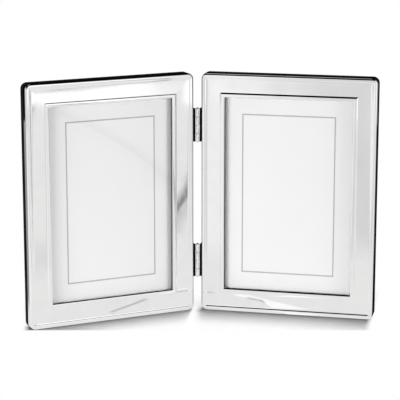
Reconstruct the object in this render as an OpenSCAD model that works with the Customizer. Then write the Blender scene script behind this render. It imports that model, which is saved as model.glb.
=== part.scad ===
// Double photo frame: two leaves that fold like a book on two small butt hinges.
// Each leaf is a pressed metal front on a velvet covered back frame. It holds glass,
// a printed card and a backing card, and a back door that four turn buttons keep shut.
// The origin is at the middle of the whole frame, on the surface that it stands on.

/* [Photograph] */
// Width of the photograph that each leaf holds
photo_w = 101.6; // [80:0.1:160]
// Height of the photograph
photo_h = 152.4; // [110:0.1:220]
// How far the window edge covers the photograph on every side
photo_lip = 3.2; // [2:0.1:5]

/* [Leaf] */
// Width of the metal rail round the window
rail_w = 18; // [16:0.5:30]
// Whole depth of a leaf, front to back
leaf_t = 12; // [11:0.5:18]
// Depth of the metal front's side wall
shell_side = 5; // [4:0.5:6]
// Radius of a leaf's four corners
corner_r = 4.5; // [3.6:0.1:6]
// Angle between the two open leaves as they stand
opening_angle = 143; // [90:1:170]

/* [Pressed front] */
// Thickness of the pressed sheet
sheet_t = 0.5; // [0.3:0.05:0.5]
// Radius of the sheet's outer edge
edge_r = 1.7; // [1.4:0.1:1.9]
// Radius of the low crown inside the outer edge
crown_r = 6.9; // [6:0.1:7.8]
// Radius of the lip where the crown turns down to the flat face
lip_r = 0.6; // [0.6:0.05:0.8]
// Radius of the hollow under the lip
cove_r = 1.57; // [1.4:0.01:1.7]
// Radius of the shallow end of that hollow, which runs out into the flat face
run_out_r = 7.2; // [6.5:0.1:8]
// Steepest slope of the crown's lip, in degrees
lip_slope = 37; // [32:1:42]
// Slope at which the crown meets its lip, and the hollow its shallow end
ease_slope = 10; // [8:1:12]
// Width of the raised border round the window, with its foot
border_w = 4.36; // [4.2:0.02:5]
// Radius of the hollow at the border's foot
foot_r = 2.2; // [2:0.1:2.4]
// Radius of the border's outer edge
border_r = 0.75; // [0.6:0.05:0.9]
// Radius of the edge round the window
window_r = 1.2; // [1:0.1:1.4]

/* [Filling] */
// Depth of the glass behind the front plane
glass_depth = 1.8; // [1.8:0.1:2.4]
// Thickness of the glass
glass_t = 1.8; // [1.5:0.1:2.2]
// Thickness of the printed card
card_t = 0.4; // [0.2:0.05:0.8]
// Thickness of the backing card
backing_t = 3; // [1.5:0.1:3.5]
// Thickness of the back door's flange
door_t = 2.5; // [2:0.1:3]
// Width of the ledge that the door's flange lies on
door_ledge = 4; // [3:0.1:6]

/* [Turn buttons] */
// Width of a turn button
button_w = 6; // [5:0.1:7]
// Length from its screw to its tip
button_reach = 10.5; // [9:0.1:12]
// Thickness of a turn button
button_t = 0.8; // [0.6:0.1:1.2]
// Distance of its screw from the back door's edge
button_setback = 5.4; // [4.5:0.1:5.8]
// Radius of the screw's shank
button_screw_r = 0.9; // [0.7:0.05:1]
// Radius of the screw's head
button_head_r = 1.8; // [1.4:0.1:2.2]
// Height of the screw's head
button_head_t = 0.8; // [0.6:0.1:1.2]
// Length of the screw in the back frame
button_screw_depth = 6; // [4:0.5:6.5]

/* [Hinges] */
// Height of one hinge
hinge_h = 25.3; // [20:0.1:34]
// Distance between the middles of the two hinges
hinge_spacing = 104; // [70:0.5:120]
// Gap from a leaf's side wall to the hinge axis
hinge_gap = 2.75; // [2.6:0.05:4]
// Knuckles in one hinge, shared by its two sides
knuckles = 4; // [2:1:6]
// Outer radius of a knuckle
knuckle_r = 1.3; // [1.1:0.05:1.4]
// Radius of the hinge pin
pin_r = 0.6; // [0.4:0.05:0.7]
// Radius of the pin's riveted ends
pin_end_r = 0.95; // [0.8:0.05:1.1]
// Thickness of a hinge plate
plate_t = 0.8; // [0.6:0.05:0.9]
// Inner radius of the plate's bend towards the knuckles
bend_r = 0.4; // [0.3:0.05:0.5]
// How far a plate reaches back along the leaf's side
plate_reach = 9.5; // [8:0.1:10]
// Radius of the plate's rear corners
plate_corner_r = 1.5; // [0.8:0.1:2.5]
// Radius of the hinge screws' shanks
hinge_screw_r = 0.8; // [0.6:0.05:0.9]
// Radius of their countersunk heads
hinge_head_r = 1.6; // [1.3:0.05:1.8]
// Length of a hinge screw in the back frame
hinge_screw_depth = 6; // [4:0.5:8]

/* [Clearances] */
// Distance of the front plane behind the hinge axis, so that the leaves fold shut
fold_play = 0.3; // [0.2:0.05:0.5]
// Radial play of the hinge pin
pin_play = 0.04; // [0.02:0.01:0.08]
// Gap between neighbouring knuckles
knuckle_gap = 0.15; // [0.1:0.05:0.3]
// Gap round the glass, the cards and the door
filling_play = 0.2; // [0.1:0.05:0.4]
// Gap between the sheet's side wall and the back frame inside it
shell_play = 0.15; // [0.1:0.05:0.3]
// Gap under and over a turn button
button_gap = 0.1; // [0.05:0.05:0.2]
// Radial play of a screw in its hole
screw_play = 0.05; // [0.03:0.01:0.08]

/* [Hidden] */
// Round edge of the velvet covered back
back_edge_r = 1;
// Radius of the back door's corners
door_corner_r = 1.5;
// Depth and width of a screwdriver slot
slot_d = 0.35;
slot_w = 0.5;
// Height of the pin's riveted ends
pin_end_t = 0.4;
// Overrun of every cut
cut = 1;
// Straight pieces that stand for a round edge, a gentle bend and a round corner
edge_steps = 9;
bend_steps = 3;
corner_steps = 6;
// Place of a hinge's screws, as a share of its height from its middle
hinge_screw_share = 0.28;
// Screws in one hinge plate
hinge_screw_sides = [-1, 1];
$fn = 64;

// Whole size of a leaf, and its place beside the hinge axis
leaf_w = photo_w - 2 * photo_lip + 2 * rail_w;
leaf_h = photo_h - 2 * photo_lip + 2 * rail_w;
fold_half = 90 - opening_angle / 2;
hinge_levels = [leaf_h / 2 - hinge_spacing / 2, leaf_h / 2 + hinge_spacing / 2];

// The sheet's section: across is inward from the leaf's edge, up is forward of the front plane.
// Each turn is a radius, negative where hollow, the slopes at its start and end, and its steps.
crown_start = [0, -edge_r];
crown_turns = [
    [edge_r, -90, 0, edge_steps],
    [crown_r, 0, ease_slope, bend_steps],
    [lip_r, ease_slope, lip_slope, bend_steps],
    [-cove_r, lip_slope, ease_slope, bend_steps],
    [-run_out_r, ease_slope, 0, bend_steps]
];
face_drop = -turned(crown_start, crown_turns, len(crown_turns)).y;
border_slope = acos(1 - face_drop / (foot_r + border_r));
border_turns = [[-foot_r, 0, -border_slope, bend_steps], [border_r, -border_slope, 0, bend_steps]];
window_turns = [[window_r, 0, 90, edge_steps]];

// Depths of the layers behind the glass, and the insets of the back frame's opening
card_depth = glass_depth + glass_t;
backing_depth = card_depth + card_t;
plug_depth = backing_depth + backing_t;
ledge_depth = leaf_t - door_t;
opening_inset = rail_w - photo_lip - filling_play;
door_inset = opening_inset - door_ledge;
button_inset = door_inset - button_setback;
face_back = face_drop + sheet_t;

// Turn button levels behind the leaf
button_depth = leaf_t + button_gap;
button_head_depth = button_depth + button_t + button_gap;

// Hinge plate: the bend ends where the knuckles' webs begin
bend_out = bend_r + plate_t;
bend_x = hinge_gap - bend_out;
bend_y = fold_play + bend_out;
knuckle_pitch = hinge_h / knuckles;
plate_screw_y = fold_play + (shell_side + plate_reach) / 2;

// The hinge axis lies where the whole frame is centred front to back
front_reach = -(hinge_gap + leaf_w - edge_r) * sin(fold_half)
    + (fold_play + edge_r) * cos(fold_half) - edge_r;
edge_back_reach = -(hinge_gap + back_edge_r) * sin(fold_half)
    + (fold_play + leaf_t - back_edge_r) * cos(fold_half) + back_edge_r;
screw_back_reach = -(hinge_gap + button_inset - button_head_r) * sin(fold_half)
    + (fold_play + button_head_depth + button_head_t) * cos(fold_half);
axis_y = -(front_reach + max(edge_back_reach, screw_back_reach)) / 2;

// Places

// The right leaf swung forward about the hinge axis, and the left one as its mirror image
module right_side() translate([0, axis_y, 0]) rotate([0, 0, -fold_half]) children();
module left_side() mirror([1, 0, 0]) right_side() children();

// Lays a flat drawing of the leaf upright: across from the hinge side, up, and forward
module on_leaf() translate([hinge_gap, fold_play, 0]) rotate([90, 0, 0]) children();

// Runs round the leaf's four edges, 0 bottom, 1 outer, 2 top, 3 beside the hinges
function edge_length(i) = i % 2 == 0 ? leaf_w : leaf_h;
function edge_start(i) = [i == 1 || i == 2 ? leaf_w : 0, i >= 2 ? leaf_h : 0, 0];
module at_edge(i) translate(edge_start(i)) rotate([0, 0, 90 * i]) children();
module at_edge_middle(i) at_edge(i) translate([edge_length(i) / 2, 0, 0]) children();

// Shapes that repeat

function arc(c, r, from, to, steps) =
    [for (i = [0:steps]) let (a = from + (to - from) * i / steps) c + r * [cos(a), sin(a)]];

// Bends joined end to end, each as long as its turn says
function outward(slope) = [sin(slope), cos(slope)];
function turn_centre(place, turn) = place - turn[0] * outward(turn[1]);
function turned(place, turns, count) = count == 0 ? place
    : let (start = turned(place, turns, count - 1), turn = turns[count - 1])
        turn_centre(start, turn) + turn[0] * outward(turn[2]);
function bends(place, turns, inward) = [
    for (k = [0:len(turns) - 1])
        let (turn = turns[k], centre = turn_centre(turned(place, turns, k), turn))
        for (i = [min(k, 1):turn[3]])
            centre + (turn[0] - inward) * outward(turn[1] + (turn[2] - turn[1]) * i / turn[3])
];

// The sheet's front line for inward = 0, and the parallel line inside the sheet
function sheet_line(inward) = concat(
    [[inward, -shell_side]],
    bends(crown_start, crown_turns, inward),
    bends([rail_w - border_w, -face_drop], border_turns, inward),
    bends([rail_w - window_r, 0], window_turns, inward),
    [[rail_w - inward, -glass_depth]]
);
function reversed(list) = [for (i = [len(list) - 1:-1:0]) list[i]];
sheet_profile = concat(sheet_line(0), reversed(sheet_line(sheet_t)));

// The back frame's section: a tongue inside the sheet, the rim, and the door's ledge
back_profile = concat(
    [
        [0, -shell_side],
        [sheet_t + shell_play, -shell_side],
        [sheet_t + shell_play, -face_back],
        [opening_inset, -face_back],
        [opening_inset, -ledge_depth],
        [door_inset, -ledge_depth],
        [door_inset, -leaf_t]
    ],
    arc([back_edge_r, back_edge_r - leaf_t], back_edge_r, 270, 180, bend_steps)
);

// A section swept round the leaf, round at the four corners and mitred inside their radius
corner_signs = [[0, 0], [1, 0], [1, 1], [0, 1]];
stations = [for (k = [0:3], j = [0:corner_steps]) [k, j]];

function sweep_point(p, station) = let (
        inset = max(p.x, corner_r),
        r = max(corner_r - p.x, 0),
        side = corner_signs[station[0]],
        turn = 180 + 90 * (station[0] + station[1] / corner_steps)
    ) [
        inset + side.x * (leaf_w - 2 * inset) + r * cos(turn),
        inset + side.y * (leaf_h - 2 * inset) + r * sin(turn),
        p.y
    ];

// Inside the corner radius a corner's stations share their first point
function sweep_index(profile, i, t) = i * len(stations)
    + (profile[i].x < corner_r ? t : t - stations[t][1]);

module moulding(profile) {
    points = [for (p = profile, station = stations) sweep_point(p, station)];
    faces = [
        for (i = [0:len(profile) - 1], t = [0:len(stations) - 1])
            let (
                next_i = (i + 1) % len(profile),
                next_t = (t + 1) % len(stations),
                a = sweep_index(profile, i, t),
                b = sweep_index(profile, i, next_t),
                c = sweep_index(profile, next_i, next_t),
                d = sweep_index(profile, next_i, t)
            )
            for (face = [[a, c, b], [a, d, c]])
                if (face[0] != face[1] && face[1] != face[2] && face[2] != face[0]) face
    ];
    polyhedron(points, faces);
}

// A flat layer in the middle of the leaf
module layer(depth, thickness, w, h) translate([(leaf_w - w) / 2, (leaf_h - h) / 2, -depth - thickness])
    cube([w, h, thickness]);

module rounded_rectangle(w, h, r) {
    for (x = [r, w - r], y = [r, h - r]) translate([x, y]) circle(r);
    translate([r, 0]) square([w - 2 * r, h]);
    translate([0, r]) square([w, h - 2 * r]);
}

// Sub-parts of a leaf

module front_shell() color("gainsboro") on_leaf() moulding(sheet_profile);

module glass() color("azure", 0.4) on_leaf() layer(glass_depth, glass_t, photo_w, photo_h);

module photo_card() color("whitesmoke") on_leaf() layer(card_depth, card_t, photo_w, photo_h);

module backing_card() color("darkkhaki") on_leaf() layer(backing_depth, backing_t, photo_w, photo_h);

module back_frame() color("#1a1a1a") difference() {
    on_leaf() difference() {
        moulding(back_profile);
        for (i = [0:3]) at_edge_middle(i) translate([0, button_inset, -leaf_t - cut])
            cylinder(h = button_screw_depth + screw_play + cut, r = button_screw_r + screw_play);
    }
    at_hinge_screws() cylinder(h = hinge_screw_depth + screw_play, r = hinge_screw_r + screw_play);
}

// A velvet covered board whose flange lies on the ledge and whose plug presses on the backing
module back_door() color("#202020") on_leaf() {
    layer(plug_depth, ledge_depth - plug_depth, photo_w, photo_h);
    flange_inset = door_inset + filling_play;
    translate([flange_inset, flange_inset, -leaf_t]) linear_extrude(door_t)
        rounded_rectangle(leaf_w - 2 * flange_inset, leaf_h - 2 * flange_inset, door_corner_r);
}

// Turn button on one edge: an oblong strip on its screw, with its tip over the door
module turn_button(i) color("#3a3a3a") on_leaf() at_edge_middle(i)
    translate([0, button_inset, -button_depth - button_t]) linear_extrude(button_t) difference() {
        union() {
            circle(d = button_w);
            translate([0, button_reach - button_w / 2]) circle(d = button_w);
            translate([-button_w / 2, 0]) square([button_w, button_reach - button_w / 2]);
        }
        circle(button_screw_r + screw_play);
    }

module button_screws() color("silver") on_leaf() for (i = [0:3]) at_edge_middle(i)
    translate([0, button_inset, 0]) difference() {
        union() {
            translate([0, 0, -button_head_depth - button_head_t])
                cylinder(h = button_head_t, r = button_head_r);
            translate([0, 0, -button_head_depth - button_head_t / 2])
                cylinder(h = button_head_depth + button_head_t / 2 - leaf_t + button_screw_depth,
                    r = button_screw_r);
        }
        translate([-slot_w / 2, -button_head_r - cut, -button_head_depth - button_head_t - cut])
            cube([slot_w, 2 * (button_head_r + cut), slot_d + cut]);
    }

// Hinges

// Each hinge screw's place on the leaf's side wall, pointing into the leaf
module at_hinge_screws() for (level = hinge_levels, side = hinge_screw_sides)
    translate([hinge_gap, plate_screw_y, level + side * hinge_screw_share * hinge_h])
        rotate([0, 90, 0]) children();

module hinge_screws() color("silver") at_hinge_screws() difference() {
    union() {
        translate([0, 0, -plate_t]) cylinder(h = plate_t, r1 = hinge_head_r, r2 = hinge_screw_r);
        cylinder(h = hinge_screw_depth, r = hinge_screw_r);
    }
    translate([-slot_w / 2, -hinge_head_r - cut, -plate_t - cut])
        cube([slot_w, 2 * (hinge_head_r + cut), slot_d + cut]);
}

// The plate's outline: square where it bends, with two round rear corners
module plate_outline() {
    depth = fold_play + plate_reach - bend_y;
    square([depth - plate_corner_r, hinge_h]);
    translate([0, plate_corner_r]) square([depth, hinge_h - 2 * plate_corner_r]);
    for (z = [plate_corner_r, hinge_h - plate_corner_r])
        translate([depth - plate_corner_r, z]) circle(plate_corner_r);
}

// One side of a hinge: plate, bend, and every second knuckle rolled round the pin
module hinge_plate(level, first) color("#6a6a6a") difference() {
    translate([0, 0, level - hinge_h / 2]) {
        translate([hinge_gap - plate_t, bend_y, 0]) rotate([90, 0, 90])
            linear_extrude(plate_t) plate_outline();
        translate([bend_x, bend_y, 0]) linear_extrude(hinge_h) intersection() {
            difference() {
                circle(bend_out);
                circle(bend_r);
            }
            translate([0, -bend_out]) square(bend_out);
        }
        for (k = [first:2:knuckles - 1]) translate([0, 0, k * knuckle_pitch + knuckle_gap / 2]) {
            cylinder(h = knuckle_pitch - knuckle_gap, r = knuckle_r);
            translate([pin_r + pin_play, fold_play, 0])
                cube([bend_x - pin_r - pin_play, plate_t, knuckle_pitch - knuckle_gap]);
        }
    }
    translate([0, 0, level - hinge_h / 2 - cut]) cylinder(h = hinge_h + 2 * cut, r = pin_r + pin_play);
    at_hinge_screws() translate([0, 0, -plate_t])
        cylinder(h = plate_t, r1 = hinge_head_r + screw_play, r2 = hinge_screw_r + screw_play);
}

module hinge_pin(level) color("silver") translate([0, axis_y, level - hinge_h / 2]) {
    cylinder(h = hinge_h, r = pin_r);
    translate([0, 0, hinge_h]) cylinder(h = pin_end_t, r1 = pin_end_r, r2 = pin_r);
    mirror([0, 0, 1]) cylinder(h = pin_end_t, r1 = pin_end_r, r2 = pin_r);
}

left_side() front_shell();  // left_front_shell
left_side() glass();  // left_glass
left_side() photo_card();  // left_photo_card
left_side() backing_card();  // left_backing_card
left_side() back_frame();  // left_back_frame
left_side() back_door();  // left_back_door
left_side() button_screws();  // left_button_screws
left_side() hinge_screws();  // left_hinge_screws
left_side() turn_button(0);  // left_turn_button_bottom
left_side() turn_button(1);  // left_turn_button_outer
left_side() turn_button(2);  // left_turn_button_top
left_side() turn_button(3);  // left_turn_button_inner
right_side() front_shell();  // right_front_shell
right_side() glass();  // right_glass
right_side() photo_card();  // right_photo_card
right_side() backing_card();  // right_backing_card
right_side() back_frame();  // right_back_frame
right_side() back_door();  // right_back_door
right_side() button_screws();  // right_button_screws
right_side() hinge_screws();  // right_hinge_screws
right_side() turn_button(0);  // right_turn_button_bottom
right_side() turn_button(1);  // right_turn_button_outer
right_side() turn_button(2);  // right_turn_button_top
right_side() turn_button(3);  // right_turn_button_inner
left_side() hinge_plate(hinge_levels[0], 1);  // lower_hinge_left_plate
right_side() hinge_plate(hinge_levels[0], 0);  // lower_hinge_right_plate
hinge_pin(hinge_levels[0]);  // lower_hinge_pin
left_side() hinge_plate(hinge_levels[1], 1);  // upper_hinge_left_plate
right_side() hinge_plate(hinge_levels[1], 0);  // upper_hinge_right_plate
hinge_pin(hinge_levels[1]);  // upper_hinge_pin
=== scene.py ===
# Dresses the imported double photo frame: its materials, the polished fronts, the glass, the studio and the camera.
import math

import bpy
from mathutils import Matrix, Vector


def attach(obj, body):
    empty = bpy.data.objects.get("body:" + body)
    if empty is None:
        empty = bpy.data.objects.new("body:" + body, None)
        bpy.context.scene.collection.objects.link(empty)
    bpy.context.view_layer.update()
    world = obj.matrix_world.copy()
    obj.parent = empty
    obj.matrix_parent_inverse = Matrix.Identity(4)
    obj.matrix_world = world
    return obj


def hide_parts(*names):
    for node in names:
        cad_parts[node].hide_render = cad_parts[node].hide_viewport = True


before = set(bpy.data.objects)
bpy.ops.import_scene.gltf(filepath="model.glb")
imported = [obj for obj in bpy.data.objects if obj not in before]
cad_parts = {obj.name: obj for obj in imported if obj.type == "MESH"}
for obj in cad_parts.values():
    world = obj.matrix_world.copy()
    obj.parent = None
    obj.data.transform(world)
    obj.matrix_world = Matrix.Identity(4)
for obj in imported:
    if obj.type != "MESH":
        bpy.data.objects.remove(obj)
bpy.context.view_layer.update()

MM = 0.001

# Sizes repeated from the part's source, in millimetres
PHOTO_W, PHOTO_H, PHOTO_LIP = 101.6, 152.4, 3.2
RAIL_W, SHELL_SIDE, CORNER_R = 18.0, 5.0, 4.5
SHEET_T = 0.5
EDGE_R, CROWN_R, LIP_R, COVE_R, RUN_OUT_R = 1.7, 6.9, 0.6, 1.57, 7.2
LIP_SLOPE, EASE_SLOPE = 37.0, 10.0
BORDER_W, FOOT_R, BORDER_R, WINDOW_R = 4.36, 2.2, 0.75, 1.2
GLASS_DEPTH, GLASS_T = 1.8, 1.8
HINGE_GAP, FOLD_PLAY = 2.75, 0.3
FOLD_HALF = math.radians(18.5)
LEAF_W = PHOTO_W - 2 * PHOTO_LIP + 2 * RAIL_W
LEAF_H = PHOTO_H - 2 * PHOTO_LIP + 2 * RAIL_W
AXIS_Y = 15.173

SIDES = {"left": -1.0, "right": 1.0}
CORNERS = ((0, 0), (1, 0), (1, 1), (0, 1))


# Places


def mm(*lengths):
    """Lengths in millimetres as metres."""
    return tuple(length * MM for length in lengths)


def on_leaf(side, across, up, forward):
    """World point of a leaf's own point: across from its hinge edge, up, and forward of its front plane."""
    x, y = HINGE_GAP + across, FOLD_PLAY - forward
    c, s = math.cos(FOLD_HALF), math.sin(FOLD_HALF)
    return Vector((SIDES[side] * (x * c + y * s), AXIS_Y - x * s + y * c, up)) * MM


# Nodes


class Nodes:
    """The node tree of a material or a world, with short ways to add and link nodes."""

    def __init__(self, owner, output):
        owner.use_nodes = True
        self.owner = owner
        self.tree = owner.node_tree
        self.tree.nodes.clear()
        self.output = self.tree.nodes.new(output)

    def put(self, value, socket):
        """Links an output to a socket, or sets the socket to a number, a place or a colour."""
        if isinstance(value, bpy.types.NodeSocket):
            self.tree.links.new(value, socket)
        elif socket.type == "RGBA":
            socket.default_value = (*value, 1)
        else:
            socket.default_value = value

    def add(self, kind, inputs=None, **settings):
        """A new node's outputs, with its inputs, by name or by number, linked or set."""
        node = self.tree.nodes.new(kind)
        for key, value in settings.items():
            setattr(node, key, value)
        for key, value in (inputs or {}).items():
            self.put(value, node.inputs[key])
        return node.outputs

    def finish(self, shader):
        """Ends the tree in a shader, and gives the material or the world back."""
        self.put(shader, self.output.inputs["Surface"])
        return self.owner

    # Places

    def coordinates(self):
        return self.add("ShaderNodeTexCoord")["Object"]

    def mapped(self, vector, **inputs):
        return self.add("ShaderNodeMapping", {"Vector": vector, **inputs})["Vector"]

    def leaf_coordinates(self, side):
        """A leaf's own place in metres: across, back and up from the foot of the hinge axis."""
        sine, cosine = math.sin(FOLD_HALF), math.cos(FOLD_HALF)
        return self.mapped(
            self.coordinates(),
            Scale=(SIDES[side], 1, 1),
            Rotation=(0, 0, FOLD_HALF),
            Location=(AXIS_Y * MM * sine, -AXIS_Y * MM * cosine, 0),
        )

    def split(self, vector):
        return tuple(self.add("ShaderNodeSeparateXYZ", {0: vector}))

    def turn(self, x, y):
        """Degrees to the right of straight ahead, which is -Y."""
        return self.math("MULTIPLY", self.math("ARCTAN2", x, self.math("MULTIPLY", y, -1.0)), math.degrees(1))

    # Numbers

    def math(self, operation, *values):
        """One math node, or a row of them where there are more than two values."""
        result = self.add("ShaderNodeMath", dict(enumerate(values[:2])), operation=operation)[0]
        return self.math(operation, result, *values[2:]) if values[2:] else result

    def line(self, x, level, slope):
        """level + slope * x."""
        return self.math("ADD", self.math("MULTIPLY", x, slope), level)

    def slanted(self, x, y, skew):
        """x + skew * y."""
        return self.math("ADD", x, self.math("MULTIPLY", y, skew))

    def ramp(self, value, low, high, a, b):
        """Maps value from low..high to a..b, smoothly and clamped."""
        inputs = {"Value": value, "From Min": low, "From Max": high, "To Min": a, "To Max": b}
        return self.add("ShaderNodeMapRange", inputs, interpolation_type="SMOOTHSTEP")["Result"]

    def rise(self, value, low, high):
        return self.ramp(value, low, high, 0, 1)

    def fall(self, value, low, high):
        return self.ramp(value, low, high, 1, 0)

    def between(self, value, rise, fall):
        """1 between two soft limits, each a low and a high value."""
        return self.math("MULTIPLY", self.rise(value, *rise), self.fall(value, *fall))

    # Textures and mixes

    def noise(self, vector, scale, detail, rough, distortion=0.0):
        inputs = {"Vector": vector, "Scale": scale, "Detail": detail, "Roughness": rough, "Distortion": distortion}
        return self.add("ShaderNodeTexNoise", inputs)["Fac"]

    def number(self, factor, a, b):
        """Mix of two numbers or sockets."""
        return self.add("ShaderNodeMix", {"Factor": factor, 2: a, 3: b}, data_type="FLOAT")[0]

    def mix(self, factor, a, b):
        """Mix of two colours or sockets."""
        return self.add("ShaderNodeMix", {"Factor": factor, 6: a, 7: b}, data_type="RGBA")[2]

    def either(self, factor, a, b):
        """Mix of two shaders."""
        return self.add("ShaderNodeMixShader", {0: factor, 1: a, 2: b})[0]

    def bump(self, height, distance, strength=1.0):
        return self.add("ShaderNodeBump", {"Height": height, "Distance": distance, "Strength": strength})["Normal"]

    def principled(self, inputs):
        return self.add("ShaderNodeBsdfPrincipled", inputs)[0]


# Materials


# Painted shade and painted reflection on the silver, in millimetres: over what depth the window's edge is painted
# dark, standing in for the shade where it turns in towards the glass, all round and sooner along the hinge side and
# the bottom, how far that reaches outside the window, and for the painted dark reflection along the ends of the
# right leaf's hinge side its place across and how far from mid-height it starts. The last grey is how dark the
# painted shade and reflection are.
EDGE_DARKENS = (FOLD_PLAY + 0.6 * WINDOW_R, FOLD_PLAY + WINDOW_R + 0.3)
SHADED_DARKENS = (FOLD_PLAY + 0.1 * WINDOW_R, FOLD_PLAY + 0.35 * WINDOW_R)
SHADED_SIDE, DARK_REACH = RAIL_W + 2, 0.7
DARK_REFLECTION_ACROSS, DARK_REFLECTION_ENDS = (HINGE_GAP + 0.3, HINGE_GAP + 0.6), (30, 60)
PAINTED_DARK_GREY = {"left": 0.13, "right": 0.03}
SILVER, DULL_SILVER = (0.955, 0.953, 0.948), (0.93, 0.93, 0.928)
SILVER_SMOOTH, SILVER_ROUGH, SILVER_WAVES = 0.035, 0.085, 0.12

# Painted shade on the hinge plates in the gap between the leaves: where it starts and fades, in millimetres from
# the hinge axis, and its grey
GAP_SHADE_FROM, GAP_SHADE_TO, GAP_SHADE_GREY = (1.5, 1.6), (9.6, 12), 0.008

# Velvet: the greys of its pile when brushed either way
VELVET_DEEP, VELVET_LIGHT = 0.003, 0.011

# The insert: its printed rectangle in millimetres, that line's grey, and the card's two tones
PRINT_W, PRINT_H, PRINT_LEVEL, PRINT_LINE, PRINT_GREY = 69.1, 120.4, 91.5, 0.95, 0.42
PAPER, PAPER_LIGHT = (0.87, 0.87, 0.872), (0.905, 0.905, 0.903)

BOARD, BOARD_DARK = (0.56, 0.52, 0.46), (0.42, 0.39, 0.34)
LACQUER, WORN_STEEL = (0.02, 0.02, 0.021), (0.32, 0.31, 0.3)
GLASS_TINT, GLASS_SHADE = (0.99, 0.992, 0.99), (0.936, 0.937, 0.936)


def grey(value):
    return (value, value, value)


def new_material(name):
    return Nodes(bpy.data.materials.new(name), "ShaderNodeOutputMaterial")


def painted_dark_lines(s, side):
    """1 where painted shade darkens the window's edge as it turns in towards the glass, and where a painted dark
    reflection runs along the ends of the right leaf's hinge side.
    """
    x, y, z = s.split(s.leaf_coordinates(side))
    across = s.math("ABSOLUTE", s.math("SUBTRACT", x, (HINGE_GAP + LEAF_W / 2) * MM))
    up = s.math("ABSOLUTE", s.math("SUBTRACT", z, LEAF_H / 2 * MM))
    # Painted shade starts sooner along the hinge side and the bottom, where the shade falls deeper
    shaded = s.math("MAXIMUM", s.math("LESS_THAN", x, (HINGE_GAP + SHADED_SIDE) * MM),
                    s.math("LESS_THAN", z, SHADED_SIDE * MM))
    deep = s.math("MAXIMUM", s.rise(y, *mm(*EDGE_DARKENS)),
                  s.math("MULTIPLY", s.rise(y, *mm(*SHADED_DARKENS)), shaded))
    dark = s.math("MULTIPLY", deep,
                  s.math("LESS_THAN", across, (LEAF_W / 2 - RAIL_W + DARK_REACH) * MM),
                  s.math("LESS_THAN", up, (LEAF_H / 2 - RAIL_W + DARK_REACH) * MM))
    # A painted dark reflection along the ends of the right leaf's hinge side, away from mid-height
    if side == "right":
        dark_reflection = s.math("MULTIPLY", s.fall(x, *mm(*DARK_REFLECTION_ACROSS)), s.rise(up, *mm(*DARK_REFLECTION_ENDS)))
        dark = s.math("MAXIMUM", dark, dark_reflection)
    return dark


def make_silver(side):
    """Polished silver plate: nearly a mirror, with faint dull patches, slight waves, and painted shade and a
    painted dark reflection along its edges.
    """
    s = new_material(f"silver_{side}")
    place = s.coordinates()
    patches = s.noise(place, scale=90, detail=4, rough=0.6)
    wipes = s.noise(s.mapped(place, Scale=(900, 900, 60)), scale=1, detail=3, rough=0.6)
    haze = s.math("MULTIPLY", patches, wipes)
    bright = s.mix(s.rise(patches, 0.35, 0.7), SILVER, DULL_SILVER)
    return s.finish(s.principled({
        # The base colour takes painted shade at the window's edge and a painted dark reflection on the right leaf's
        # hinge side
        "Base Color": s.mix(painted_dark_lines(s, side), bright, grey(PAINTED_DARK_GREY[side])),
        "Metallic": 1.0,
        "Roughness": s.ramp(haze, 0.15, 0.4, SILVER_SMOOTH, SILVER_ROUGH),
        "Normal": s.bump(s.noise(place, scale=26, detail=1, rough=0.4), SILVER_WAVES * MM),
    }))


def make_plated(name, shade, smooth, rough, scratch, gap_shaded=False):
    """Plated steel with fine drawn lines and dull patches, and where asked painted shade on the plate away from the
    hinge axis, for the dark of the gap between the leaves.
    """
    s = new_material(name)
    place = s.coordinates()
    lines = s.noise(s.mapped(place, Scale=(4000, 4000, 500)), scale=1, detail=3, rough=0.6)
    patches = s.noise(place, scale=400, detail=3, rough=0.55)
    colour = s.mix(s.rise(patches, 0.3, 0.7), grey(shade), grey(0.9 * shade))
    # Painted shade on the plate in the gap between the leaves, leaving the barrel bright
    if gap_shaded:
        x, y, _ = s.split(place)
        back = s.math("SUBTRACT", y, AXIS_Y * MM)
        away = s.math("SQRT", s.math("ADD", s.math("POWER", x, 2), s.math("POWER", back, 2)))
        gap_shade = s.between(away, mm(*GAP_SHADE_FROM), mm(*GAP_SHADE_TO))
        colour = s.mix(gap_shade, colour, grey(GAP_SHADE_GREY))
    return s.finish(s.principled({
        "Base Color": colour,
        "Metallic": 1.0,
        "Roughness": s.ramp(patches, 0.3, 0.7, smooth, rough),
        "Normal": s.bump(lines, scratch * MM, strength=0.6),
    }))


def make_velvet():
    """Black velvet: a dense short pile with a faint sheen and lightly brushed patches."""
    s = new_material("velvet")
    place = s.coordinates()
    pile = s.noise(place, scale=5200, detail=2, rough=0.6)
    tufts = s.noise(place, scale=1500, detail=2, rough=0.5)
    brushed = s.noise(s.mapped(place, Scale=(1, 1, 0.55)), scale=70, detail=3, rough=0.55, distortion=0.4)
    height = s.math("ADD", pile, s.math("MULTIPLY", tufts, 0.6))
    tone = s.math("ADD", s.math("MULTIPLY", brushed, 0.75), s.math("MULTIPLY", pile, 0.25))
    return s.finish(s.principled({
        "Base Color": s.mix(s.rise(tone, 0.35, 0.68), grey(VELVET_DEEP), grey(VELVET_LIGHT)),
        "Roughness": 0.96,
        "Specular IOR Level": 0.02,
        "Sheen Weight": 0.015,
        "Sheen Roughness": 0.45,
        "Sheen Tint": (0.75, 0.75, 0.8),
        "Normal": s.bump(height, 0.3 * MM, strength=0.8),
    }))


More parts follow.
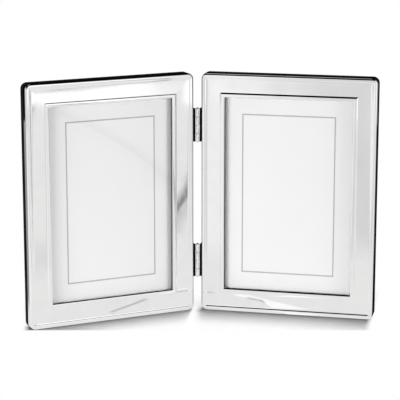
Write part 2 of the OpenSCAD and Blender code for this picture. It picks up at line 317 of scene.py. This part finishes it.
def make_card(side):
    """Smooth pale card with fine fibre, and a thin printed rectangle."""
    s = new_material(f"card_{side}")
    place = s.leaf_coordinates(side)
    x, _, z = s.split(place)
    across = s.math("ABSOLUTE", s.math("SUBTRACT", x, (HINGE_GAP + LEAF_W / 2) * MM))
    up = s.math("ABSOLUTE", s.math("SUBTRACT", z, PRINT_LEVEL * MM))
    outside = s.math("MAXIMUM", s.math("SUBTRACT", across, PRINT_W / 2 * MM),
                     s.math("SUBTRACT", up, PRINT_H / 2 * MM))
    fibre = s.noise(s.mapped(place, Scale=(1, 1, 0.6)), scale=2400, detail=4, rough=0.65)
    cloud = s.noise(place, scale=60, detail=2, rough=0.5)
    wobble = s.math("MULTIPLY", s.math("SUBTRACT", fibre, 0.5), 0.1 * MM)
    from_line = s.math("ADD", s.math("ABSOLUTE", outside), wobble)
    line = s.fall(from_line, *mm(0.35 * PRINT_LINE, 0.62 * PRINT_LINE))
    tone = s.math("ADD", s.math("MULTIPLY", fibre, 0.5), s.math("MULTIPLY", cloud, 0.5))
    return s.finish(s.principled({
        "Base Color": s.mix(line, s.mix(tone, PAPER, PAPER_LIGHT), grey(PRINT_GREY)),
        "Roughness": 0.62,
        "Specular IOR Level": 0.3,
        "Normal": s.bump(fibre, 0.02 * MM, strength=0.5),
    }))


def make_backing():
    """Grey board with flecks."""
    s = new_material("backing")
    fleck = s.noise(s.coordinates(), scale=900, detail=4, rough=0.7)
    return s.finish(s.principled({
        "Base Color": s.mix(s.rise(fleck, 0.3, 0.7), BOARD, BOARD_DARK),
        "Roughness": 0.9,
        "Normal": s.bump(fleck, 0.1 * MM, strength=0.6),
    }))


def make_lacquer():
    """Black lacquered steel with worn edges."""
    s = new_material("button")
    place = s.coordinates()
    peel = s.noise(place, scale=1100, detail=2, rough=0.5)
    rub = s.noise(place, scale=700, detail=4, rough=0.65)
    edge = s.add("ShaderNodeNewGeometry")["Pointiness"]
    worn = s.math("MULTIPLY", s.rise(edge, 0.53, 0.6), s.rise(rub, 0.45, 0.62))
    return s.finish(s.principled({
        "Base Color": s.mix(worn, LACQUER, WORN_STEEL),
        "Roughness": s.ramp(rub, 0.3, 0.7, 0.24, 0.4),
        "Coat Weight": 0.25,
        "Coat Roughness": 0.12,
        "Normal": s.bump(peel, 0.04 * MM, strength=0.6),
    }))


def make_glass():
    """Clear picture glass. Lamps and diffuse light pass straight through it, and lose a little."""
    s = new_material("glass")
    glass = s.principled({"Base Color": GLASS_TINT, "Roughness": 0.0, "IOR": 1.5, "Transmission Weight": 1.0})
    clear = s.add("ShaderNodeBsdfTransparent", {"Color": GLASS_SHADE})[0]
    rays = s.add("ShaderNodeLightPath")
    return s.finish(s.either(s.math("MAXIMUM", rays["Is Shadow Ray"], rays["Is Diffuse Ray"]), glass, clear))


# Pieces


# How fine the swept sheet is: degrees of a turn for each step on its front and its back, steps in each round
# corner, and millimetres from a corner to the points that keep its shading off the straight stretch
FRONT_STEP, BACK_STEP, CORNER_STEPS, CORNER_GUARD = 3, 8, 14, 0.6
SAME_POINT, SHARP_ANGLE = 0.000001, 24


def bends(place, turns, inward, fine):
    """Arcs joined end to end from a place on the face, and where they end.

    Each turn is a radius, negative where hollow, and the tilts towards the window at its start and its end.
    """
    points = []
    for radius, start, end in turns:
        steps = max(2, round(abs(end - start) / fine))
        tilts = [math.radians(start + (end - start) * i / steps) for i in range(steps + 1)]
        centre = (place[0] - radius * math.sin(tilts[0]), place[1] - radius * math.cos(tilts[0]))
        for tilt in tilts[1 if points else 0:]:
            r = radius - inward
            points.append((centre[0] + r * math.sin(tilt), centre[1] + r * math.cos(tilt)))
        place = (centre[0] + radius * math.sin(tilts[-1]), centre[1] + radius * math.cos(tilts[-1]))
    return points, place


def sheet_line(inward, fine):
    """The pressed sheet's section, or the parallel line inside it: (inset, forward) in millimetres."""
    edge, face = bends((0, -EDGE_R), [
        (EDGE_R, -90, 0),
        (CROWN_R, 0, EASE_SLOPE),
        (LIP_R, EASE_SLOPE, LIP_SLOPE),
        (-COVE_R, LIP_SLOPE, EASE_SLOPE),
        (-RUN_OUT_R, EASE_SLOPE, 0),
    ], inward, fine)
    rise = math.degrees(math.acos(1 + face[1] / (FOOT_R + BORDER_R)))
    border, top = bends((RAIL_W - BORDER_W, face[1]), [(-FOOT_R, 0, -rise), (BORDER_R, -rise, 0)], inward, fine)
    window, _ = bends((RAIL_W - WINDOW_R, top[1]), [(WINDOW_R, 0, 90)], inward, fine)
    return [(inward, -SHELL_SIDE)] + edge + border + window + [(RAIL_W - inward, -GLASS_DEPTH)]


def loop_points(inset):
    """A rounded rectangle round the leaf at this inset, with as many points at every inset."""
    r = max(CORNER_R - inset, 0.0)
    keep = max(inset, CORNER_R)
    points = []
    for k, (sx, sy) in enumerate(CORNERS):
        cx = keep + sx * (LEAF_W - 2 * keep)
        cy = keep + sy * (LEAF_H - 2 * keep)
        corner = []
        for j in range(CORNER_STEPS + 1):
            a = math.radians(180 + 90 * (k + j / CORNER_STEPS))
            corner.append((cx + r * math.cos(a), cy + r * math.sin(a)))
        before, after = math.radians(90 + 90 * k), math.radians(90 * k)
        first, last = corner[0], corner[-1]
        points.append((first[0] + CORNER_GUARD * math.cos(before), first[1] + CORNER_GUARD * math.sin(before)))
        points += corner
        points.append((last[0] + CORNER_GUARD * math.cos(after), last[1] + CORNER_GUARD * math.sin(after)))
    return points


def new_piece(name, points, faces, material, body):
    mesh = bpy.data.meshes.new(name)
    mesh.from_pydata(points, [], faces)
    mesh.validate()
    mesh.materials.append(material)
    piece = bpy.data.objects.new(name, mesh)
    bpy.context.scene.collection.objects.link(piece)
    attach(piece, body)
    return piece


def smooth_by_angle(piece, degrees):
    """Smooth shading with sharp edges where faces meet at more than this angle."""
    mesh = piece.data
    mesh.polygons.foreach_set("use_smooth", [True] * len(mesh.polygons))
    mesh.set_sharp_from_angle(angle=math.radians(degrees))


def sweep(name, side, section, material, body):
    """Sweeps a closed section round a leaf: round corners outside the corner radius, mitred inside it."""
    points, faces, rings = [], [], []
    for inset, forward in section:
        ring, last = [], None
        for across, up in loop_points(inset):
            if last is None or math.dist(last, (across, up)) > SAME_POINT:
                points.append(on_leaf(side, across, up, forward))
                last = (across, up)
            ring.append(len(points) - 1)
        rings.append(ring)
    count = len(rings[0])
    for i, ring in enumerate(rings):
        after = rings[(i + 1) % len(rings)]
        for k in range(count):
            n = (k + 1) % count
            corners = [ring[k], ring[n], after[n], after[k]]
            face = [v for j, v in enumerate(corners) if v not in corners[:j]]
            if len(face) > 2:
                faces.append(face if side == "right" else face[::-1])
    piece = new_piece(name, points, faces, material, body)
    smooth_by_angle(piece, SHARP_ANGLE)
    return piece


def make_shell(side, material):
    front = sheet_line(0.0, FRONT_STEP)
    back = sheet_line(SHEET_T, BACK_STEP)[::-1]
    shell = sweep(f"{side}_pressed_front", side, front + back, material, f"{side}_leaf")
    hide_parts(f"{side}_front_shell")


def make_pane(side, material):
    """The glass with its ground edges, a hair clear of the card behind it."""
    play, arris = 0.02, 0.3
    x0, y0 = (LEAF_W - PHOTO_W) / 2, (LEAF_H - PHOTO_H) / 2
    levels = [
        (arris, -GLASS_DEPTH - play),
        (0.0, -GLASS_DEPTH - play - arris),
        (0.0, -GLASS_DEPTH - GLASS_T + play + arris),
        (arris, -GLASS_DEPTH - GLASS_T + play),
    ]
    points, faces = [], []
    for inset, forward in levels:
        for sx, sy in CORNERS:
            across = x0 + inset + sx * (PHOTO_W - 2 * inset)
            up = y0 + inset + sy * (PHOTO_H - 2 * inset)
            points.append(on_leaf(side, across, up, forward))
    for i in range(len(levels) - 1):
        for k in range(4):
            n = (k + 1) % 4
            faces.append([4 * i + k, 4 * (i + 1) + k, 4 * (i + 1) + n, 4 * i + n])
    faces.append([0, 1, 2, 3])
    last = 4 * (len(levels) - 1)
    faces.append([last + 3, last + 2, last + 1, last])
    if side == "left":
        faces = [face[::-1] for face in faces]
    pane = new_piece(f"{side}_pane", points, faces, material, f"{side}_leaf")
    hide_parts(f"{side}_glass")


# Edge rounding of carried-over nodes in millimetres, the distance within which their split corners are joined,
# and the angle from which an edge is rounded and in how many steps
SCREW_EDGE, BUTTON_EDGE, PLATE_EDGE, PIN_EDGE = 0.12, 0.15, 0.1, 0.08
WELD, ROUNDED_ANGLE, EDGE_SEGMENTS = 0.002, 32, 2


def dress(node, material, edge=None):
    """Gives a carried-over node its material, and where an edge size is given rounds its edges."""
    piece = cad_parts[node]
    for slot in piece.material_slots:
        slot.material = material
    if edge is None:
        return
    weld = piece.modifiers.new("weld", "WELD")
    weld.merge_threshold = WELD * MM
    bevel = piece.modifiers.new("round_edges", "BEVEL")
    bevel.width = edge * MM
    bevel.segments = EDGE_SEGMENTS
    bevel.limit_method = "ANGLE"
    bevel.angle_limit = math.radians(ROUNDED_ANGLE)
    bevel.harden_normals = True
    for polygon in piece.data.polygons:
        polygon.use_smooth = True


def dress_all():
    velvet, glass, backing, lacquer = make_velvet(), make_glass(), make_backing(), make_lacquer()
    plated = make_plated("hinge", shade=0.97, smooth=0.05, rough=0.13, scratch=0.008, gap_shaded=True)
    screw = make_plated("screw", shade=0.78, smooth=0.12, rough=0.26, scratch=0.012)
    pin = make_plated("hinge_pin", shade=0.8, smooth=0.1, rough=0.22, scratch=0.008)
    for side in SIDES:
        make_shell(side, make_silver(side))
        make_pane(side, glass)
        dress(f"{side}_photo_card", make_card(side))
        dress(f"{side}_backing_card", backing)
        for name in ("back_frame", "back_door"):
            dress(f"{side}_{name}", velvet)
        for name in ("button_screws", "hinge_screws"):
            dress(f"{side}_{name}", screw, SCREW_EDGE)
        for edge in ("bottom", "outer", "top", "inner"):
            dress(f"{side}_turn_button_{edge}", lacquer, BUTTON_EDGE)
        for level in ("lower", "upper"):
            dress(f"{level}_hinge_{side}_plate", plated, PLATE_EDGE)
    for level in ("lower", "upper"):
        dress(f"{level}_hinge_pin", pin, PIN_EDGE)


# Studio. Lengths are in metres, x to the right and y to the back from below the middle of the frame, and turns
# are in degrees to the right of straight ahead. A pair is where a tone starts to give way and where it has.


TABLE_R, TABLE_SIDES = 0.93, 96

# The floor's colour for bounced light and for the camera, and where it is white to the camera
FLOOR_TONE, FLOOR_SEEN, FLOOR_WHITE = 0.8, 0.95, (0.13, 0.24)

# The straight ends of the floor's shadow: left, right, in front, behind and in the gap. A skew says how much of
# the other axis counts.
SHADOW_LEFT, SHADOW_BACK = (-0.1335, -0.1265), (0.005, 0.065)
SHADOW_RIGHT, RIGHT_SKEW = (0.1294, 0.1354), -0.29
SHADOW_FRONT, FRONT_SKEW = (-0.041, -0.037), 0.105
GAP_LEFT, GAP_LEFT_SKEW = (-0.0103, -0.0063), -0.2535
GAP_RIGHT, GAP_RIGHT_SKEW = (-0.0055, 0.0025), -0.1

# The table that metal mirrors: its tones to the left, ahead, to the right and near the frame
TABLE_LEFT, TABLE_MIDDLE, TABLE_RIGHT, TABLE_NEAR = 0.9, 0.69, 0.83, 0.83
LEFT_TO_MIDDLE, MIDDLE_TO_RIGHT, NEAR_TO_FAR = (-29, -14), (-2, 16), (0.12, 0.22)

# Painted shadow edge by the frame's foot, for the frame's shadow on the table as metal mirrors it: a bend of three
# lines, each a level and a slope, a painted bright wedge in front of it, and along it a thin line of painted shade
# with a bare stretch before the hinge
BEND_LEFT, BEND_AHEAD, BEND_RIGHT = (-0.0302, -0.136), (-0.028, 0.0), (-0.0479, 0.65)
WEDGE_FRONT, WEDGE_FRONT_SOFT, WEDGE_BACK_SOFT = (-0.0368, 0.117), 0.0006, 0.001
WEDGE_STARTS, WEDGE_ENDS, WEDGE_MIRRORED = (0.002, 0.01), (0.07, 0.095), 1.02
SHADOW_LINE_SHIFT, SHADOW_LINE_SIDE, SHADOW_LINE_MIRRORED = 0.0008, (0.001, 0.002), 0.55
SHADOW_LINE_STARTS, SHADOW_LINE_ENDS = (-0.056, -0.05), (0.032, 0.038)
BARE_STARTS, BARE_ENDS = (-0.014, -0.01), (0.016, 0.02)

# Black cards to the right, whose edge is skewed, paler far out, and behind
CARD_EDGE, CARD_SKEW, CARD_STARTS = (0.038, 0.052), 0.6, (0.125, 0.135)
CARDS_MIRRORED, FAR_RIGHT, FAR_STARTS = 0.003, 0.12, (0.2, 0.4)
BEHIND_LEFT, BEHIND_STARTS, BEHIND_LEFT_TO_RIGHT = 0.32, (0.0, 0.05), (-0.02, 0.02)

# A dark streak: its turn, how wide that is before it ends and how soft, its distance and how that changes with
# the turn, where it comes up, and the strengths and near and far sides of its line and of the shade before it
STREAK_TURN, STREAK_WIDE, STREAK_SOFT = 42.4, 9, 3
STREAK_R, STREAK_SKEW, STREAK_STARTS = 0.352, -0.05, (0.15, 0.2)
STREAK_NEAR, STREAK_FAR, STREAK_MIRRORED = (-0.024, -0.004), (0.002, 0.095), 0.22
SHADE_NEAR, SHADE_FAR, STREAK_SHADE = (-0.15, -0.05), (-0.01, 0.03), 0.23

# The world: what lights all that isn't polished, and the dark room round the studio
AMBIENT, ROOM_MIRRORED = 0.1, 0.002
# The studio that polished metal sees: its lowest and highest level, its lowest and highest turn, how soft its top
# and bottom and its sides are, all in degrees, and its brightness
STUDIO = [
    (-40, 12, -45, 0, 5, 6, 0.71),
    (-40, 12, -45, -28.5, 5, 5, 0.95),
    (-6, 10, -45, -28, 4, 4, 1.1),
    (-40, 37, 0, 60, 15, 20, 0.85),
    (-40, 37, 15, 41.6, 15, 3, 1.16),
    (-40, 30, -125, -45, 10, 10, 0.62),
    (-40, 45, 68, 125, 15, 12, 0.3),
    (62, 100, -180, -60, 12, 30, 0.4),
]

# Lamps: the strip above, and the softboxes' places to the right and back, and watts
STRIP_PLACE, STRIP_SIZE, STRIP_TURN, STRIP_WATTS = (0.045, 0.125, 1.5), (0.14, 0.29), -9.5, 17.5
SOFTBOXES = {
    "softbox_left": (-0.95, -0.7, 8.7),
    "side_left": (-1.1, -0.4, 8.2),
    "side_right": (1.1, -0.4, 14),
}
SOFTBOX_LEVEL, SOFTBOX_SIZE, SOFTBOX_AIM = 0.1, (0.75, 0.17), (0, -0.02, 0.09)

# The camera, fitted to the photograph
CAMERA_PLACE, CAMERA_HEADING, CAMERA_PITCH = (-0.1304, -1.2455, 0.3747), 5.99, 12.85
FOCAL_PIXELS, FRAME_PIXELS, SENSOR_W = 1728.0, 400.0, 36.0
CLIP_START, CLIP_END = 0.05, 50


def only_polished(s, rays):
    """1 for a ray that has met nothing but metal and glass on its way from the camera."""
    return s.math("LESS_THAN", rays["Diffuse Depth"], 0.5)


def shadow_ends(s, x, y, reach):
    """1 where the camera sees the floor white: far away, and past each straight end of the shadow."""
    gap = s.math("MULTIPLY", s.rise(s.slanted(x, y, GAP_LEFT_SKEW), *GAP_LEFT),
                 s.fall(s.slanted(x, y, GAP_RIGHT_SKEW), *GAP_RIGHT))
    return s.math(
        "MAXIMUM",
        s.rise(reach, *FLOOR_WHITE),
        s.fall(x, *SHADOW_LEFT),
        s.rise(s.slanted(x, y, RIGHT_SKEW), *SHADOW_RIGHT),
        s.fall(s.slanted(y, x, FRONT_SKEW), *SHADOW_FRONT),
        s.rise(y, *SHADOW_BACK),
        gap,
    )


def add_painted_shadow_edge(s, tone, x, y):
    """Painted light in the bright wedge and painted shade in the thin dark line near the frame, for the edge of the
    frame's shadow on the table.
    """
    bend = s.math("MAXIMUM", *(s.line(x, *part) for part in (BEND_LEFT, BEND_AHEAD, BEND_RIGHT)))
    inward = s.math("SUBTRACT", y, bend)
    before = s.math("SUBTRACT", y, s.line(x, *WEDGE_FRONT))
    # Painted light: the bright wedge beside the shadow's edge
    wedge = s.math("MULTIPLY", s.rise(before, -WEDGE_FRONT_SOFT, WEDGE_FRONT_SOFT),
                   s.between(x, WEDGE_STARTS, WEDGE_ENDS), s.fall(inward, -WEDGE_BACK_SOFT, 0.0))
    tone = s.number(wedge, tone, WEDGE_MIRRORED)
    # Painted shade: the thin dark line along the shadow's edge
    aside = s.math("ABSOLUTE", s.math("ADD", inward, SHADOW_LINE_SHIFT))
    drawn = s.math("SUBTRACT", s.between(x, SHADOW_LINE_STARTS, SHADOW_LINE_ENDS), s.between(x, BARE_STARTS, BARE_ENDS))
    shadow_line = s.math("MULTIPLY", s.fall(aside, *SHADOW_LINE_SIDE), drawn)
    return s.number(shadow_line, tone, SHADOW_LINE_MIRRORED)


def add_streak(s, tone, turn, reach):
    """The dark streak to the right and the shade before it."""
    along = s.math("MULTIPLY", s.math("SUBTRACT", turn, STREAK_TURN), STREAK_SKEW)
    beyond = s.math("SUBTRACT", s.math("SUBTRACT", reach, STREAK_R), along)
    low, high = STREAK_TURN - STREAK_WIDE, STREAK_TURN + STREAK_WIDE
    nearby = s.math("MULTIPLY", s.between(turn, (low - STREAK_SOFT, low), (high, high + STREAK_SOFT)),
                    s.rise(reach, *STREAK_STARTS))
    shade = s.math("MULTIPLY", nearby, s.between(beyond, SHADE_NEAR, SHADE_FAR), STREAK_SHADE)
    streak = s.math("MULTIPLY", nearby, s.between(beyond, STREAK_NEAR, STREAK_FAR))
    return s.number(streak, s.number(shade, tone, 0.0), STREAK_MIRRORED)


def table_tone(s, x, y, reach):
    """The studio's table as polished metal mirrors it."""
    turn = s.turn(x, y)
    front = s.number(s.rise(turn, *LEFT_TO_MIDDLE), TABLE_LEFT, TABLE_MIDDLE)
    front = s.number(s.rise(turn, *MIDDLE_TO_RIGHT), front, TABLE_RIGHT)
    front = s.number(s.fall(reach, *NEAR_TO_FAR), front, TABLE_NEAR)
    # The painted shadow edge of the frame, with its painted bright wedge
    front = add_painted_shadow_edge(s, front, x, y)
    card = s.math("MULTIPLY", s.rise(s.slanted(y, x, CARD_SKEW), *CARD_EDGE), s.rise(x, *CARD_STARTS))
    front = s.number(card, front, s.number(s.rise(x, *FAR_STARTS), CARDS_MIRRORED, FAR_RIGHT))
    front = add_streak(s, front, turn, reach)
    behind = s.number(s.rise(x, *BEHIND_LEFT_TO_RIGHT), BEHIND_LEFT, CARDS_MIRRORED)
    return s.number(s.rise(y, *BEHIND_STARTS), front, behind)


def make_floor_material():
    """Pale floor. The camera sees it as white with the shadow, and the metal sees the studio table's own tones."""
    s = new_material("floor")
    rays = s.add("ShaderNodeLightPath")
    place = s.coordinates()
    x, y, _ = s.split(place)
    reach = s.add("ShaderNodeVectorMath", {0: place}, operation="LENGTH")["Value"]
    colour = s.mix(rays["Is Camera Ray"], grey(FLOOR_TONE), grey(FLOOR_SEEN))
    diffuse = s.add("ShaderNodeBsdfDiffuse", {"Color": colour})[0]
    white = s.add("ShaderNodeEmission")[0]
    plain = s.either(s.math("MULTIPLY", shadow_ends(s, x, y, reach), rays["Is Camera Ray"]), diffuse, white)
    table = s.add("ShaderNodeEmission", {"Strength": table_tone(s, x, y, reach)})[0]
    seen_in = s.math("MAXIMUM", rays["Is Glossy Ray"], rays["Is Transmission Ray"])
    return s.finish(s.either(s.math("MULTIPLY", seen_in, only_polished(s, rays)), plain, table))


def make_floor():
    points = [(0.0, 0.0, 0.0)]
    for k in range(TABLE_SIDES):
        a = 2 * math.pi * k / TABLE_SIDES
        points.append((TABLE_R * math.cos(a), TABLE_R * math.sin(a), 0.0))
    faces = [(0, 1 + k, 1 + (k + 1) % TABLE_SIDES) for k in range(TABLE_SIDES)]
    mesh = bpy.data.meshes.new("floor")
    mesh.from_pydata(points, [], faces)
    mesh.materials.append(make_floor_material())
    floor = bpy.data.objects.new("floor", mesh)
    bpy.context.scene.collection.objects.link(floor)
    return floor


def studio_box(s, level, turn, low, high, left, right, level_soft, turn_soft):
    """1 inside a range of levels and of turns, and 0 outside it."""
    up, across = level_soft, turn_soft / 2
    return s.math(
        "MULTIPLY",
        s.between(level, (low - up, low + up), (high - up, high + up)),
        s.between(turn, (left - across, left + across), (right - across, right + across)),
    )


def make_world():
    """White to the camera, the studio to polished metal, and a dim even light to all else."""
    s = Nodes(bpy.data.worlds.new("studio"), "ShaderNodeOutputWorld")
    x, y, z = s.split(s.add("ShaderNodeTexCoord")["Generated"])
    turn = s.turn(x, y)
    level = s.math("MULTIPLY", s.math("ARCSINE", z), math.degrees(1))
    mirrored = ROOM_MIRRORED
    for *place, value in STUDIO:
        mirrored = s.number(studio_box(s, level, turn, *place), mirrored, value)
    rays = s.add("ShaderNodeLightPath")
    strength = s.number(s.math("MULTIPLY", rays["Is Glossy Ray"], only_polished(s, rays)), AMBIENT, mirrored)
    seen = s.math("MAXIMUM", rays["Is Camera Ray"], rays["Is Transmission Ray"])
    strength = s.number(seen, strength, 1.0)
    background = s.add("ShaderNodeBackground", {"Color": grey(1), "Strength": strength})[0]
    bpy.context.scene.world = s.finish(background)


def add_lamp(name, place, size, watts):
    """A lamp that shines down, and that metal doesn't mirror."""
    data = bpy.data.lights.new(name, "AREA")
    data.shape = "RECTANGLE"
    data.size, data.size_y = size
    data.energy = watts
    lamp = bpy.data.objects.new(name, data)
    lamp.location = place
    lamp.visible_glossy = False
    bpy.context.scene.collection.objects.link(lamp)
    return lamp


def make_lamps(floor):
    """A strip above and a little behind, which shades the floor, and three low softboxes for the frame alone."""
    strip = add_lamp("strip_overhead", STRIP_PLACE, STRIP_SIZE, STRIP_WATTS)
    strip.rotation_euler = (0, 0, math.radians(STRIP_TURN))
    floorless = bpy.data.collections.new("all_but_the_floor")
    floorless.objects.link(floor)
    floorless.collection_objects[0].light_linking.link_state = "EXCLUDE"
    for name, (x, y, watts) in SOFTBOXES.items():
        lamp = add_lamp(name, (x, y, SOFTBOX_LEVEL), SOFTBOX_SIZE, watts)
        aim = Vector(SOFTBOX_AIM) - lamp.location
        lamp.rotation_euler = aim.to_track_quat("-Z", "Y").to_euler()
        lamp.light_linking.receiver_collection = floorless


def make_camera():
    data = bpy.data.cameras.new("camera")
    data.sensor_width = SENSOR_W
    data.lens = FOCAL_PIXELS / FRAME_PIXELS * SENSOR_W
    data.clip_start, data.clip_end = CLIP_START, CLIP_END
    camera = bpy.data.objects.new("camera", data)
    camera.location = CAMERA_PLACE
    camera.rotation_euler = (math.radians(90 - CAMERA_PITCH), 0, math.radians(-CAMERA_HEADING))
    bpy.context.scene.collection.objects.link(camera)
    bpy.context.scene.camera = camera


dress_all()
make_world()
make_lamps(make_floor())
make_camera()
bpy.context.scene.view_settings.view_transform = "Standard"
